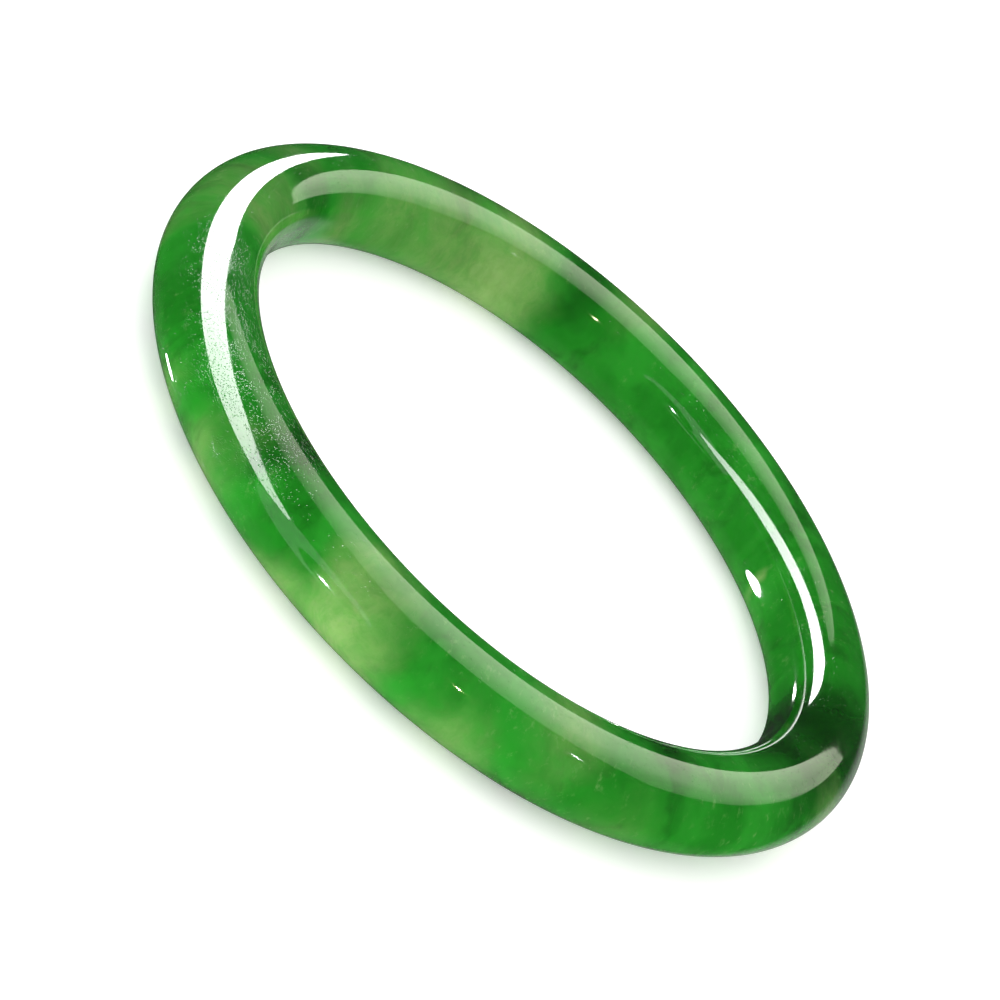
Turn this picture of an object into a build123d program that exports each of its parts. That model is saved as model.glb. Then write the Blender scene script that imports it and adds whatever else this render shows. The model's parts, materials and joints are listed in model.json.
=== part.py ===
from build123d import *

import os
from math import cos, radians, sin

# A round jade bangle, cut from one piece of stone and polished all over.
# It lies flat: its axis is +Z and the origin is the centre of the wrist opening.
# Lengths are in millimetres, angles in degrees.

WRIST_OPENING_DIAMETER = 56.0
LAND_HEIGHT = 1.5

# The bar's section is nearly round, of arcs that meet in line with each other. Each arc ends
# where the surface leans this far up from pointing straight out, away from the wrist: the
# outermost nose first, then the broad shoulder over the top of the bar, then the inner corner.
# The crowned inner face takes up what is left, as far as the land.
NOSE_RADIUS = 3.7
NOSE_END = 35.0
SHOULDER_RADIUS = 4.65
SHOULDER_END = 105.0
INNER_CORNER_RADIUS = 3.3
INNER_CORNER_END = 150.0
INNER_FACE_END = 180.0


def climb(radius, start, end):
    """How far an arc rises along the bangle's axis."""
    return radius * (sin(radians(end)) - sin(radians(start)))


def reach(radius, start, end):
    """How far an arc runs in towards the bangle's axis."""
    return radius * (cos(radians(start)) - cos(radians(end)))


def section_arcs():
    """The arcs of the bar's upper half as (radius, start, end), from the nose to the land.

    The inner face's radius is the one that brings the outline down to the land's top edge.
    """
    arcs = [
        (NOSE_RADIUS, 0.0, NOSE_END),
        (SHOULDER_RADIUS, NOSE_END, SHOULDER_END),
        (INNER_CORNER_RADIUS, SHOULDER_END, INNER_CORNER_END),
    ]
    drop = sum(climb(*arc) for arc in arcs) - LAND_HEIGHT / 2
    inner_face_radius = drop / sin(radians(INNER_CORNER_END))
    return arcs + [(inner_face_radius, INNER_CORNER_END, INNER_FACE_END)]


def bar_section():
    """The bar's section, drawn in the XZ plane at its place beside the axis."""
    arcs = section_arcs()
    bar_width = sum(reach(*arc) for arc in arcs)
    x = WRIST_OPENING_DIAMETER / 2 + bar_width
    z = 0.0
    with BuildSketch(Plane.XZ) as section:
        with BuildLine():
            for radius, start, end in arcs:
                centre = (x - radius * cos(radians(start)), z - radius * sin(radians(start)))
                CenterArc(centre, radius, start, end - start)
                x -= reach(radius, start, end)
                z += climb(radius, start, end)
            Line((x, z), (x, 0.0))
            mirror(about=Plane.XZ)
        make_face()
    return section.sketch


def bangle():
    """The whole ring: the bar's section turned once about the axis."""
    return revolve(bar_section(), axis=Axis.Z)


NODES = {"jade_bangle": bangle}

os.makedirs("parts", exist_ok=True)
for name, make in NODES.items():
    solid = make()
    export_step(solid, f"parts/{name}.step")
    size = solid.bounding_box().size
    print(f"{name}: {size.X:.2f} x {size.Y:.2f} x {size.Z:.2f} mm, {solid.volume / 1000:.3f} cm3")
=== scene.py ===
import json
from math import cos, pi, radians, sin

import bpy
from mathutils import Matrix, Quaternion, Vector


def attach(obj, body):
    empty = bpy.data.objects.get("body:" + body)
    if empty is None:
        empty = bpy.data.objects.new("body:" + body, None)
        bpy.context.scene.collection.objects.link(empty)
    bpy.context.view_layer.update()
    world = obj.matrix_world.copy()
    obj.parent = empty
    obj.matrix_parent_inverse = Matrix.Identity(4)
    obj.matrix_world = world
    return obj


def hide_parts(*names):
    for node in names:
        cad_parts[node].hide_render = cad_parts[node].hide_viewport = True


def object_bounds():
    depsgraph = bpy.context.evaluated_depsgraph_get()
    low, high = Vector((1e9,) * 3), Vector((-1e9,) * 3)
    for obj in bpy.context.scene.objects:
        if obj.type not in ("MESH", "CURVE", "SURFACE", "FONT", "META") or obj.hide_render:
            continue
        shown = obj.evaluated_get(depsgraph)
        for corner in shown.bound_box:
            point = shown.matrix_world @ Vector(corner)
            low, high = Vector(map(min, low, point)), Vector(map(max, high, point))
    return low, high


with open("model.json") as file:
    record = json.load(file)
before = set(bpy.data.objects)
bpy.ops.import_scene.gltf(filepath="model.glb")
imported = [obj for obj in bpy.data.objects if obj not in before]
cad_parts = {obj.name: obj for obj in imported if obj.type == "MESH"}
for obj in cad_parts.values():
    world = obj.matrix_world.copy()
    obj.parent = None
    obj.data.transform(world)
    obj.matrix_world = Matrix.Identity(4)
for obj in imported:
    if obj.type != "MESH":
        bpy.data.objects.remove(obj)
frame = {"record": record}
CAD_LOW, CAD_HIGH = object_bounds()

# Everything is in metres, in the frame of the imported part: the bangle lies flat with its axis
# along +Z. Angles round the bangle run from +X towards +Y. The camera stands on the -Y side.
MM = 0.001
CENTRE = (CAD_LOW + CAD_HIGH) / 2
OUTSIDE_RADIUS = (CAD_HIGH.x - CAD_LOW.x) / 2
HALF_HEIGHT = (CAD_HIGH.z - CAD_LOW.z) / 2
OPENING = frame["record"]["mounts"][0]["dims"]
OPENING_RADIUS = OPENING["r_mm"] * MM
LAND_HEIGHT = OPENING["length_mm"] * MM
BAR_WIDTH = OUTSIDE_RADIUS - OPENING_RADIUS
BAR_MIDDLE = (OUTSIDE_RADIUS + OPENING_RADIUS) / 2

# ---------------------------------------------------------------- shape of the stone

# The arcs of the bar's upper half, from the outermost point in to the land: how far the
# surface leans up from pointing straight out where each one ends, and its radius.
SECTION_ARCS = (
    (radians(35), 3.7 * MM),
    (radians(105), 4.65 * MM),
    (radians(150), 3.3 * MM),
)
STEPS_ROUND_RING = 720
STEPS_PER_HALF_BAR = 72


def half_section():
    """(inward, up) points from the outermost point over the top to the edge of the land."""
    rise_left = sum(
        radius * (sin(end) - sin(start))
        for (end, radius), start in zip(SECTION_ARCS, [0.0] + [a[0] for a in SECTION_ARCS])
    )
    last_end = SECTION_ARCS[-1][0]
    inner_face = (pi, (rise_left - LAND_HEIGHT / 2) / sin(last_end))
    arcs = list(SECTION_ARCS) + [inner_face]
    points = []
    for step in range(STEPS_PER_HALF_BAR + 1):
        lean = pi * step / STEPS_PER_HALF_BAR
        inward, up, start = 0.0, 0.0, 0.0
        for end, radius in arcs:
            reached = min(max(lean, start), end)
            inward += radius * (cos(start) - cos(reached))
            up += radius * (sin(reached) - sin(start))
            start = end
        points.append((inward, up))
    return points


def bar_section():
    """The whole closed outline as (distance from the axis, height), fitted to the CAD box."""
    half = half_section()
    width_scale = BAR_WIDTH / half[-1][0]
    height_scale = HALF_HEIGHT / max(up for _, up in half)
    upper = [(OUTSIDE_RADIUS - i * width_scale, u * height_scale) for i, u in half]
    lower = [(r, -z) for r, z in reversed(upper[1:])]
    return upper + lower


def ring_mesh(name):
    """The polished ring: the bar's section carried round the axis in fine steps."""
    section = bar_section()
    count = len(section)
    points = []
    faces = []
    for step in range(STEPS_ROUND_RING):
        turn = 2 * pi * step / STEPS_ROUND_RING
        following = (step + 1) % STEPS_ROUND_RING
        for k, (r, z) in enumerate(section):
            points.append((CENTRE.x + r * cos(turn), CENTRE.y + r * sin(turn), CENTRE.z + z))
            after = (k + 1) % count
            faces.append(
                (
                    step * count + k,
                    following * count + k,
                    following * count + after,
                    step * count + after,
                )
            )
    mesh = bpy.data.meshes.new(name)
    mesh.from_pydata(points, [], faces)
    mesh.polygons.foreach_set("use_smooth", [True] * len(faces))
    mesh.update()
    return mesh


# ---------------------------------------------------------------- shader helpers


def add_node(tree, kind, inputs=None, **settings):
    """A new node with its settings, and its inputs set or linked by name."""
    node = tree.nodes.new(kind)
    for name, value in settings.items():
        setattr(node, name, value)
    for name, value in (inputs or {}).items():
        if isinstance(value, bpy.types.NodeSocket):
            tree.links.new(value, node.inputs[name])
        else:
            node.inputs[name].default_value = value
    return node


def noise(tree, where, size, detail=2.0, roughness=0.5, distortion=0.0, output="Fac"):
    """Noise whose features are about size metres across."""
    settings = {
        "Vector": where,
        "Scale": 1 / size,
        "Detail": detail,
        "Roughness": roughness,
        "Distortion": distortion,
    }
    return add_node(tree, "ShaderNodeTexNoise", settings).outputs[output]


def remap(tree, value, low, high, out_low=0.0, out_high=1.0, smooth=True):
    """value taken from low..high to out_low..out_high, held at the ends."""
    kind = "SMOOTHSTEP" if smooth else "LINEAR"
    settings = {
        "Value": value,
        "From Min": low,
        "From Max": high,
        "To Min": out_low,
        "To Max": out_high,
    }
    return add_node(tree, "ShaderNodeMapRange", settings, interpolation_type=kind).outputs[0]


def math_node(tree, operation, first, second):
    """The result of an operation on two numbers or sockets."""
    node = add_node(tree, "ShaderNodeMath", operation=operation)
    for socket, value in zip(node.inputs, (first, second)):
        if isinstance(value, bpy.types.NodeSocket):
            tree.links.new(value, socket)
        else:
            socket.default_value = value
    return node.outputs[0]


def mix_colour(tree, share, first, second):
    """first where share is 0, second where it is 1."""
    node = add_node(tree, "ShaderNodeMix", data_type="RGBA")
    # Such a node's colour sockets come after those for numbers and vectors.
    sockets = (node.inputs[0], node.inputs[6], node.inputs[7])
    for socket, value in zip(sockets, (share, first, second)):
        if isinstance(value, bpy.types.NodeSocket):
            tree.links.new(value, socket)
        else:
            socket.default_value = value
    return node.outputs[2]


# ---------------------------------------------------------------- jade

DEEP_GREEN = (0.001, 0.030, 0.001, 1)
BODY_GREEN = (0.009, 0.170, 0.009, 1)
BRIGHT_GREEN = (0.018, 0.240, 0.017, 1)
CLOUD_GREEN = (0.210, 0.360, 0.110, 1)
WISP_GREEN = (0.200, 0.380, 0.130, 1)

# Clouds in the stone: angle round the ring, distance out from the middle of the bar, height
# above it, how far it spreads round the ring, and how strongly it shows.
PALE_CLOUDS = (
    (46, -4.0, -1.2, 1.3, 0.80),
    (97, 2.5, 3.0, 5.0, 0.75),
    (117, -4.0, 0.5, 5.5, 0.80),
    (122, -4.0, -1.0, 7.0, 1.00),
    (134, -3.5, 1.0, 5.5, 0.60),
    (146, -3.5, 2.0, 6.0, 0.55),
    (158, -3.5, 0.5, 4.0, 0.60),
    (168, 2.5, 3.5, 4.0, 0.35),
    (180, -1.5, 4.0, 4.5, 0.40),
    (185, 3.5, 2.5, 4.0, 0.25),
    (190, -2.5, 3.5, 5.0, 0.55),
    (195, 4.0, -1.0, 4.0, 0.45),
    (225, 2.0, -4.0, 3.5, 0.50),
    (239, 3.0, -4.0, 5.0, 0.80),
    (256, 2.5, -4.5, 4.5, 0.80),
    (263, 3.0, 3.0, 3.5, 0.70),
    (267, 3.5, -2.5, 6.5, 1.00),
    (285, 3.0, -4.5, 5.5, 0.75),
    (298, 0.0, 4.0, 5.0, 0.50),
    (310, 2.5, -3.5, 5.0, 0.20),
    (352, 4.0, -1.0, 4.5, 0.65),
)
DEEP_CLOUDS = (
    (0, -2.5, 3.0, 11.0, 1.00),
    (4, -4.0, 0.0, 6.0, 0.60),
    (8, 3.0, 3.5, 6.0, 0.80),
    (107, -1.0, 3.0, 3.5, 0.60),
    (132, 1.0, 3.0, 3.5, 0.50),
    (170, -2.0, 3.0, 4.0, 0.50),
    (212, 3.5, 1.5, 5.0, 0.30),
    (243, -1.5, 4.5, 5.0, 0.90),
    (316, -2.0, 4.0, 4.5, 1.00),
    (345, -3.0, 3.5, 7.0, 1.00),
)
# The stone's grain runs across the bar: across it, everything is this much longer.
GRAIN = 1.6
# The features drift unevenly, by up to half of this reach.
DRIFT_SIZE = 6 * MM
DRIFT_REACH = 5 * MM
NOISE_MIDDLE = (0.5, 0.5, 0.5)
# How large the features of each kind are.
PATCH_SIZE = 6 * MM
HOLLOW_SIZE = 3.5 * MM
VEIN_SIZE = 0.7 * MM
FEATHERED_PATCH_SIZE = 12 * MM
WISP_SIZE = 1.1 * MM


def along_grain(tree, where):
    """The place with its distance from the bar's middle line shortened, to draw features out."""
    level = add_node(tree, "ShaderNodeVectorMath", {0: where, 1: (1, 1, 0)}, operation="MULTIPLY")
    outward = add_node(tree, "ShaderNodeVectorMath", {0: level.outputs[0]}, operation="NORMALIZE")
    middle = add_node(
        tree, "ShaderNodeVectorMath", {0: outward.outputs[0], "Scale": BAR_MIDDLE}, operation="SCALE"
    )
    off = add_node(
        tree, "ShaderNodeVectorMath", {0: where, 1: middle.outputs[0]}, operation="SUBTRACT"
    )
    short = add_node(
        tree, "ShaderNodeVectorMath", {0: off.outputs[0], "Scale": 1 / GRAIN}, operation="SCALE"
    )
    return add_node(tree, "ShaderNodeVectorMath", {0: middle.outputs[0], 1: short.outputs[0]}).outputs[0]


def cloud(tree, grain, angle, outward, height, spread):
    """1 at the cloud's heart, falling smoothly to 0 at its spread."""
    distance_out = BAR_MIDDLE + outward * MM / GRAIN
    heart = (distance_out * cos(radians(angle)), distance_out * sin(radians(angle)), height * MM / GRAIN)
    node = add_node(tree, "ShaderNodeVectorMath", {0: grain, 1: heart}, operation="DISTANCE")
    return remap(tree, node.outputs["Value"], 0.0, spread * MM, 1.0, 0.0)


def stone_colour(tree, where):
    """Cloudy green: soft large patches, feathery veins, named clouds, and wisps that break them."""
    drift = noise(tree, where, DRIFT_SIZE, detail=3.0, output="Color")
    centred = add_node(tree, "ShaderNodeVectorMath", {0: drift, 1: NOISE_MIDDLE}, operation="SUBTRACT")
    push = add_node(
        tree, "ShaderNodeVectorMath", {0: centred.outputs[0], "Scale": DRIFT_REACH}, operation="SCALE"
    )
    straight = along_grain(tree, where)
    grain = add_node(tree, "ShaderNodeVectorMath", {0: straight, 1: push.outputs[0]}).outputs[0]

    patches = noise(tree, grain, PATCH_SIZE, detail=4.0, roughness=0.55)
    bright = remap(tree, patches, low=0.38, high=0.66)
    colour = mix_colour(tree, bright, BODY_GREEN, BRIGHT_GREEN)
    hollows = noise(tree, grain, HOLLOW_SIZE, detail=4.0, roughness=0.6)
    deep = remap(tree, hollows, low=0.50, high=0.75, out_high=0.45)
    colour = mix_colour(tree, deep, colour, DEEP_GREEN)

    veins = noise(tree, straight, VEIN_SIZE, detail=5.0, roughness=0.7)
    feathers = remap(tree, veins, low=0.55, high=0.75, out_high=0.35)
    feathered = remap(tree, noise(tree, where, FEATHERED_PATCH_SIZE), low=0.42, high=0.60)
    feathers = math_node(tree, "MULTIPLY", feathers, feathered)
    colour = mix_colour(tree, feathers, colour, WISP_GREEN)

    for angle, outward, height, spread, strength in DEEP_CLOUDS:
        shape = cloud(tree, grain, angle, outward, height, spread)
        colour = mix_colour(tree, math_node(tree, "MULTIPLY", shape, strength), colour, DEEP_GREEN)
    wisps = noise(tree, grain, WISP_SIZE, detail=6.0, roughness=0.65)
    broken = remap(tree, wisps, low=0.30, high=0.70, out_low=0.60)
    for angle, outward, height, spread, strength in PALE_CLOUDS:
        shape = math_node(tree, "MULTIPLY", cloud(tree, grain, angle, outward, height, spread), broken)
        colour = mix_colour(tree, math_node(tree, "MULTIPLY", shape, strength), colour, CLOUD_GREEN)
    return colour


# The pinprick pits, and the part of the ring where they crowd: angle round it, distance out
# from the middle of the bar, height above it, and how far they spread.
PIT_SIZE = 0.14 * MM
PIT_DEPTH = 0.022 * MM
PITTED_SIDE = (224, 2.0, 3.0, 20.0)
PITTED_PATCH_SIZE = 4 * MM
# The slight waves that polishing leaves.
WAVE_SIZE = 1.2 * MM
WAVE_DEPTH = 0.02 * MM
WAVE_STRENGTH = 0.10


def polished_surface(tree, where):
    """The normal of a fine polish: barely uneven, with scattered pinprick pits."""
    cells = add_node(tree, "ShaderNodeTexVoronoi", {"Vector": where, "Scale": 1 / PIT_SIZE})
    chance = add_node(tree, "ShaderNodeSeparateXYZ", {0: cells.outputs["Color"]}).outputs["X"]
    near_side = cloud(tree, along_grain(tree, where), *PITTED_SIDE)
    on_side = remap(tree, near_side, low=0.0, high=0.6, out_low=0.10)
    patches = noise(tree, where, PITTED_PATCH_SIZE, detail=3.0)
    crowding = remap(tree, patches, low=0.35, high=0.58, out_low=0.10, out_high=0.90)
    crowding = math_node(tree, "MULTIPLY", crowding, on_side)
    pitted = math_node(tree, "LESS_THAN", chance, crowding)
    hollow = remap(tree, cells.outputs["Distance"], low=0.0, high=0.40, out_low=1.0, out_high=0.0)
    depth = math_node(tree, "MULTIPLY", pitted, hollow)
    pit_settings = {"Strength": 1.0, "Distance": -PIT_DEPTH, "Height": depth}
    pit_bump = add_node(tree, "ShaderNodeBump", pit_settings).outputs[0]
    waves = noise(tree, where, WAVE_SIZE, detail=3.0)
    wave_settings = {
        "Strength": WAVE_STRENGTH,
        "Distance": WAVE_DEPTH,
        "Height": waves,
        "Normal": pit_bump,
    }
    return add_node(tree, "ShaderNodeBump", wave_settings).outputs[0]


# How jade bends light, and how far light wanders in it: green goes further than red and blue.
JADE_IOR = 1.66
SCATTER_BY_COLOUR = (0.35, 1.0, 0.35)
SCATTER_REACH = 1.6 * MM
# The polish is a little duller in some patches than in others.
POLISH_PATCH_SIZE = 3 * MM
BEST_POLISH = 0.035
DULLEST_POLISH = 0.075


def jade():
    """Polished translucent stone."""
    material = bpy.data.materials.new("polished_jade")
    material.use_nodes = True
    tree = material.node_tree
    shader = tree.nodes["Principled BSDF"]
    where = add_node(tree, "ShaderNodeTexCoord").outputs["Object"]
    tree.links.new(stone_colour(tree, where), shader.inputs["Base Color"])
    tree.links.new(polished_surface(tree, where), shader.inputs["Normal"])
    patches = noise(tree, where, POLISH_PATCH_SIZE, detail=3.0)
    polish = remap(tree, patches, low=0.35, high=0.70, out_low=BEST_POLISH, out_high=DULLEST_POLISH)
    tree.links.new(polish, shader.inputs["Roughness"])
    shader.inputs["IOR"].default_value = JADE_IOR
    shader.inputs["Subsurface Weight"].default_value = 1.0
    shader.inputs["Subsurface Radius"].default_value = SCATTER_BY_COLOUR
    shader.inputs["Subsurface Scale"].default_value = SCATTER_REACH
    return material


def jade_ring():
    """The polished ring, which stands for the CAD one."""
    piece = bpy.data.objects.new("polished_jade_ring", ring_mesh("polished_jade_ring"))
    bpy.context.scene.collection.objects.link(piece)
    piece.data.materials.append(jade())
    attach(piece, "root")
    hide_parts("jade_bangle")


# ---------------------------------------------------------------- floor, light and camera

WHITE = (1, 1, 1, 1)
FLOOR_REACH = 4.0
FLOOR_COLOUR = (0.86, 0.86, 0.86, 1)
FLOOR_ROUGHNESS = 0.6
# The floor glows evenly: strongly towards the stone, and to the camera only enough to look white.
FLOOR_GLOW_ON_STONE = 0.90
FLOOR_GLOW_TO_CAMERA = 0.32


def floor():
    """A plain white floor under the bangle. The stone's gloss doesn't mirror it."""
    reach = FLOOR_REACH
    z = CAD_LOW.z
    corners = [(-reach, -reach, z), (reach, -reach, z), (reach, reach, z), (-reach, reach, z)]
    mesh = bpy.data.meshes.new("floor")
    mesh.from_pydata(corners, [], [(0, 1, 2, 3)])
    plane = bpy.data.objects.new("floor", mesh)
    bpy.context.scene.collection.objects.link(plane)
    material = bpy.data.materials.new("white_floor")
    material.use_nodes = True
    tree = material.node_tree
    shader = tree.nodes["Principled BSDF"]
    shader.inputs["Base Color"].default_value = FLOOR_COLOUR
    shader.inputs["Roughness"].default_value = FLOOR_ROUGHNESS
    shader.inputs["Emission Color"].default_value = WHITE
    to_camera = add_node(tree, "ShaderNodeLightPath").outputs["Is Camera Ray"]
    glow = remap(tree, to_camera, 0.0, 1.0, FLOOR_GLOW_ON_STONE, FLOOR_GLOW_TO_CAMERA)
    tree.links.new(glow, shader.inputs["Emission Strength"])
    mesh.materials.append(material)
    plane.visible_glossy = False


def toward(azimuth, elevation):
    """A unit vector from the bangle: azimuth from the camera's side, -Y, round towards +X."""
    a, e = radians(azimuth), radians(elevation)
    return Vector((sin(a) * cos(e), -cos(a) * cos(e), sin(e)))


def small_lamp(name, place, aim, width, glow, colour=(1, 1, 1)):
    """A round lamp off camera, at a place measured from the bangle's middle, shining one way."""
    light = bpy.data.lights.new(name, "AREA")
    light.shape = "DISK"
    light.size = width
    light.energy = glow * pi * width * width
    light.color = colour
    lamp = bpy.data.objects.new(name, light)
    bpy.context.scene.collection.objects.link(lamp)
    lamp.location = CENTRE + place
    lamp.rotation_mode = "QUATERNION"
    lamp.rotation_quaternion = aim.to_track_quat("-Z", "Y")
    lamp.visible_camera = False
    return lamp


def glowing(name, glow, colour):
    """A material that glows by each point's own brightness."""
    material = bpy.data.materials.new(name)
    material.use_nodes = True
    tree = material.node_tree
    level = add_node(tree, "ShaderNodeAttribute", attribute_name="brightness").outputs["Fac"]
    strength = math_node(tree, "MULTIPLY", level, glow)
    light = add_node(tree, "ShaderNodeEmission", {"Color": colour, "Strength": strength})
    tree.links.new(light.outputs[0], tree.nodes["Material Output"].inputs["Surface"])
    return material


def sheet(name, rows, glow, colour=WHITE):
    """A glowing sheet off camera, seen only in the gloss: rows of (point, brightness)."""
    across = len(rows[0])
    points = [CENTRE + place for row in rows for place, _ in row]
    faces = []
    for row in range(len(rows) - 1):
        for k in range(row * across, row * across + across - 1):
            faces.append((k, k + 1, k + across + 1, k + across))
    mesh = bpy.data.meshes.new(name)
    mesh.from_pydata(points, [], faces)
    levels = mesh.attributes.new("brightness", "FLOAT", "POINT")
    levels.data.foreach_set("value", [brightness for row in rows for _, brightness in row])
    mesh.materials.append(glowing(name, glow, colour))
    piece = bpy.data.objects.new(name, mesh)
    bpy.context.scene.collection.objects.link(piece)
    piece.visible_camera = False
    piece.visible_diffuse = False


# The long strip box on the left: azimuth, the elevations of its lower and upper edge, and its
# brightness there, which falls off towards the camera's side.
STRIP_BOX = (
    (-158, 12, 25, 1.0),
    (-155, 12, 32, 1.0),
    (-145, 16, 37, 1.0),
    (-127, 23, 43, 1.0),
    (-110, 27, 46, 0.9),
    (-90, 26, 46, 0.8),
    (-72, 23, 44, 0.7),
    (-56, 20, 38, 0.6),
    (-41, 17, 29, 0.5),
    (-32, 21, 25, 0.45),
)
STRIP_DISTANCE = 0.15
STRIP_GLOW = 16.0

# The overhead diffuser: how far right of the bangle's middle, where its front edge, its
# brightest part and its back edge are there, all in units of its height, and how bright it is.
OVERHEAD_BOX = (
    (-0.65, 0.80, 0.95, 1.10, 0.40),
    (-0.40, 0.15, 0.60, 1.20, 0.55),
    (-0.05, -0.20, 0.45, 1.20, 0.85),
    (0.05, -0.20, 0.45, 1.45, 0.95),
    (0.20, -0.15, 0.45, 1.70, 1.00),
    (0.35, -0.10, 0.50, 1.90, 1.00),
    (0.55, 0.00, 0.60, 2.10, 0.85),
    (1.00, 0.20, 1.00, 2.60, 0.60),
    (1.35, 0.80, 1.60, 3.10, 0.58),
    (1.65, 1.80, 2.50, 3.60, 0.54),
    (1.80, 2.90, 3.40, 3.85, 0.45),
)
OVERHEAD_HEIGHT = 0.70
OVERHEAD_GLOW = 2.9
OVERHEAD_FRONT_SHARE = 0.4
OVERHEAD_COLOUR = (0.93, 1.0, 0.77, 1)

# Round sheets: name, azimuth, elevation, distance, width and glow. A dim reflector stands
# beside the camera, with the dark head of a small lamp before it, and the polished table throws
# up a small glare on the left.
ROUND_SHEETS = (
    ("reflector", -24, 12, 0.90, 0.70, 0.75),
    ("lamp_head", -15, 7, 0.50, 0.21, 0.0),
    ("table_glare", -103.5, -42, 0.17, 0.016, 60.0),
)
ROUND_SHEET_STEPS = 24

# Another glare lies close by the inner side of the right arm: the angle round the ring and the
# height of the spot that mirrors it, the azimuth and elevation from there to the glare, and its
# distance, width and glow.
GLARE_SPOT_ANGLE = radians(46.1)
GLARE_SPOT_HEIGHT = -1.04 * MM
GLARE_DIRECTION = (-89, -33)
GLARE_DISTANCE = 4 * MM
GLARE_WIDTH = 1.8 * MM
GLARE_GLOW = 30

# Small lamps on the camera's side give the pinpoint glints: name, azimuth, elevation, width,
# glow and colour.
SMALL_LAMPS = (
    ("low_lamp", -17, 2.5, 0.014, 700, (1, 1, 1)),
    ("warm_lamp", 25, 38, 0.008, 400, (1.0, 0.9, 0.45)),
    ("side_lamp", 70, 46, 0.006, 250, (1, 1, 1)),
)
SMALL_LAMP_DISTANCE = 0.45


def strip_box():
    """The strip box, as a sheet between its lower and its upper edge."""
    rows = []
    for azimuth, low, high, brightness in STRIP_BOX:
        foot = toward(azimuth, low) * STRIP_DISTANCE
        head = toward(azimuth, high) * STRIP_DISTANCE
        rows.append(((foot, brightness), (head, brightness)))
    sheet("strip_box", rows, STRIP_GLOW)


def overhead_box():
    """The overhead diffuser, as a level sheet that is dimmer along its front edge."""
    rows = []
    for right, front, middle, back, brightness in OVERHEAD_BOX:
        edge = Vector((right, front, 1)) * OVERHEAD_HEIGHT
        heart = Vector((right, middle, 1)) * OVERHEAD_HEIGHT
        far = Vector((right, back, 1)) * OVERHEAD_HEIGHT
        rows.append(((edge, brightness * OVERHEAD_FRONT_SHARE), (heart, brightness), (far, brightness)))
    sheet("overhead_box", rows, OVERHEAD_GLOW, OVERHEAD_COLOUR)


def round_sheet(name, azimuth, elevation, distance, width, glow):
    """A disc facing the bangle."""
    outward = toward(azimuth, elevation)
    level = Vector((0, 0, 1)).cross(outward).normalized()
    upright = outward.cross(level)
    rows = []
    for step in range(ROUND_SHEET_STEPS + 1):
        turn = pi * step / ROUND_SHEET_STEPS
        middle = outward * distance - level * cos(turn) * width / 2
        rise = upright * sin(turn) * width / 2
        rows.append(((middle - rise, 1.0), (middle + rise, 1.0)))
    sheet(name, rows, glow)


def inner_glare():
    """A lamp rather than a sheet, since it shines one way and the other arms don't mirror it."""
    right = OPENING_RADIUS * cos(GLARE_SPOT_ANGLE)
    back = OPENING_RADIUS * sin(GLARE_SPOT_ANGLE)
    outward = toward(*GLARE_DIRECTION)
    place = Vector((right, back, GLARE_SPOT_HEIGHT)) + outward * GLARE_DISTANCE
    lamp = small_lamp("inner_glare", place, -outward, GLARE_WIDTH, GLARE_GLOW)
    lamp.visible_diffuse = False


def studio_lights():
    """All that stands or lies round the bangle and shows in its gloss."""
    strip_box()
    overhead_box()
    for settings in ROUND_SHEETS:
        round_sheet(*settings)
    inner_glare()
    for name, azimuth, elevation, width, glow, colour in SMALL_LAMPS:
        outward = toward(azimuth, elevation)
        small_lamp(name, outward * SMALL_LAMP_DISTANCE, -outward, width, glow, colour)


# The gloss mirrors a dark room, paler below, with a pale backdrop behind the bangle.
DARK_ROOM = (0.03, 0.03, 0.03, 1)
ROOM_BELOW = (0.15, 0.16, 0.13, 1)
BACKDROP = (0.40, 0.42, 0.39, 1)
BACKDROP_DIRECTION = (158, -22)
# The stone's body is lit by a soft room, a little brighter towards a window on the left.
SOFT_ROOM = (1.10, 1.10, 1.10, 1)
WINDOW_SIDE = (1.50, 1.50, 1.50, 1)
WINDOW_DIRECTION = (-90, 30)
# The camera sees this beyond the floor.
PALE_GREY = (0.95, 0.95, 0.95, 1)


def facing(tree, direction, aim, from_cosine, to_cosine):
    """0 where the direction is off the aim by the first cosine, 1 by the second."""
    node = add_node(tree, "ShaderNodeVectorMath", {0: direction, 1: aim}, operation="DOT_PRODUCT")
    return remap(tree, node.outputs["Value"], from_cosine, to_cosine)


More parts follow.
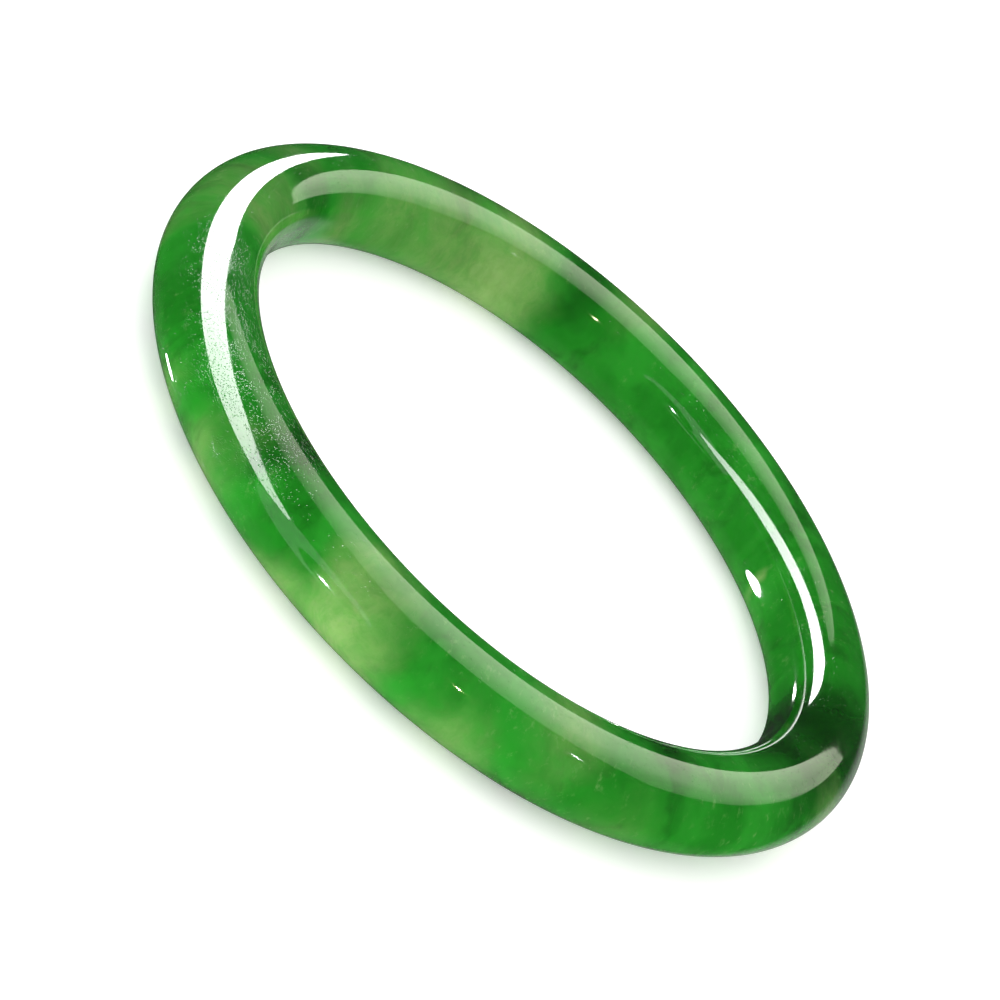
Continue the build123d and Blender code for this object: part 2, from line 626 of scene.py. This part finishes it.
def surroundings():
    """One world, which is different for the gloss, for the stone's body and for the camera."""
    world = bpy.data.worlds.new("studio")
    bpy.context.scene.world = world
    world.use_nodes = True
    tree = world.node_tree
    background = tree.nodes["Background"]
    where = add_node(tree, "ShaderNodeTexCoord").outputs["Generated"]

    below = facing(tree, where, Vector((0, 0, -1)), from_cosine=0.45, to_cosine=0.80)
    behind = facing(tree, where, toward(*BACKDROP_DIRECTION), from_cosine=0.92, to_cosine=0.99)
    mirrored = mix_colour(tree, behind, mix_colour(tree, below, DARK_ROOM, ROOM_BELOW), BACKDROP)
    window = facing(tree, where, toward(*WINDOW_DIRECTION), from_cosine=-1.0, to_cosine=1.0)
    room = mix_colour(tree, window, SOFT_ROOM, WINDOW_SIDE)
    path = add_node(tree, "ShaderNodeLightPath")
    seen = mix_colour(tree, path.outputs["Is Camera Ray"], room, PALE_GREY)
    light = mix_colour(tree, path.outputs["Is Glossy Ray"], seen, mirrored)
    tree.links.new(light, background.inputs["Color"])


CAMERA_ELEVATION = 27.09
CAMERA_ROLL = radians(44.75)
CAMERA_DISTANCE = 11.974 * OUTSIDE_RADIUS
CAMERA_AIM = Vector((-0.632, -0.798, -1.542)) * MM
CAMERA_LENS = 192.2
CAMERA_SENSOR = 36
NEAREST_SEEN = 0.01
FARTHEST_SEEN = 20


def camera():
    """The bangle seen slightly from above, with the camera rolled so that it stands aslant."""
    data = bpy.data.cameras.new("camera")
    data.lens = CAMERA_LENS
    data.sensor_width = CAMERA_SENSOR
    data.clip_start = NEAREST_SEEN
    data.clip_end = FARTHEST_SEEN
    cam = bpy.data.objects.new("camera", data)
    bpy.context.scene.collection.objects.link(cam)
    cam.location = CENTRE + toward(0, CAMERA_ELEVATION) * CAMERA_DISTANCE
    level_view = (CENTRE + CAMERA_AIM - cam.location).to_track_quat("-Z", "Y")
    cam.rotation_mode = "QUATERNION"
    cam.rotation_quaternion = level_view @ Quaternion((0, 0, 1), CAMERA_ROLL)
    bpy.context.scene.camera = cam


jade_ring()
floor()
studio_lights()
surroundings()
camera()
bpy.context.scene.view_settings.view_transform = "Standard"
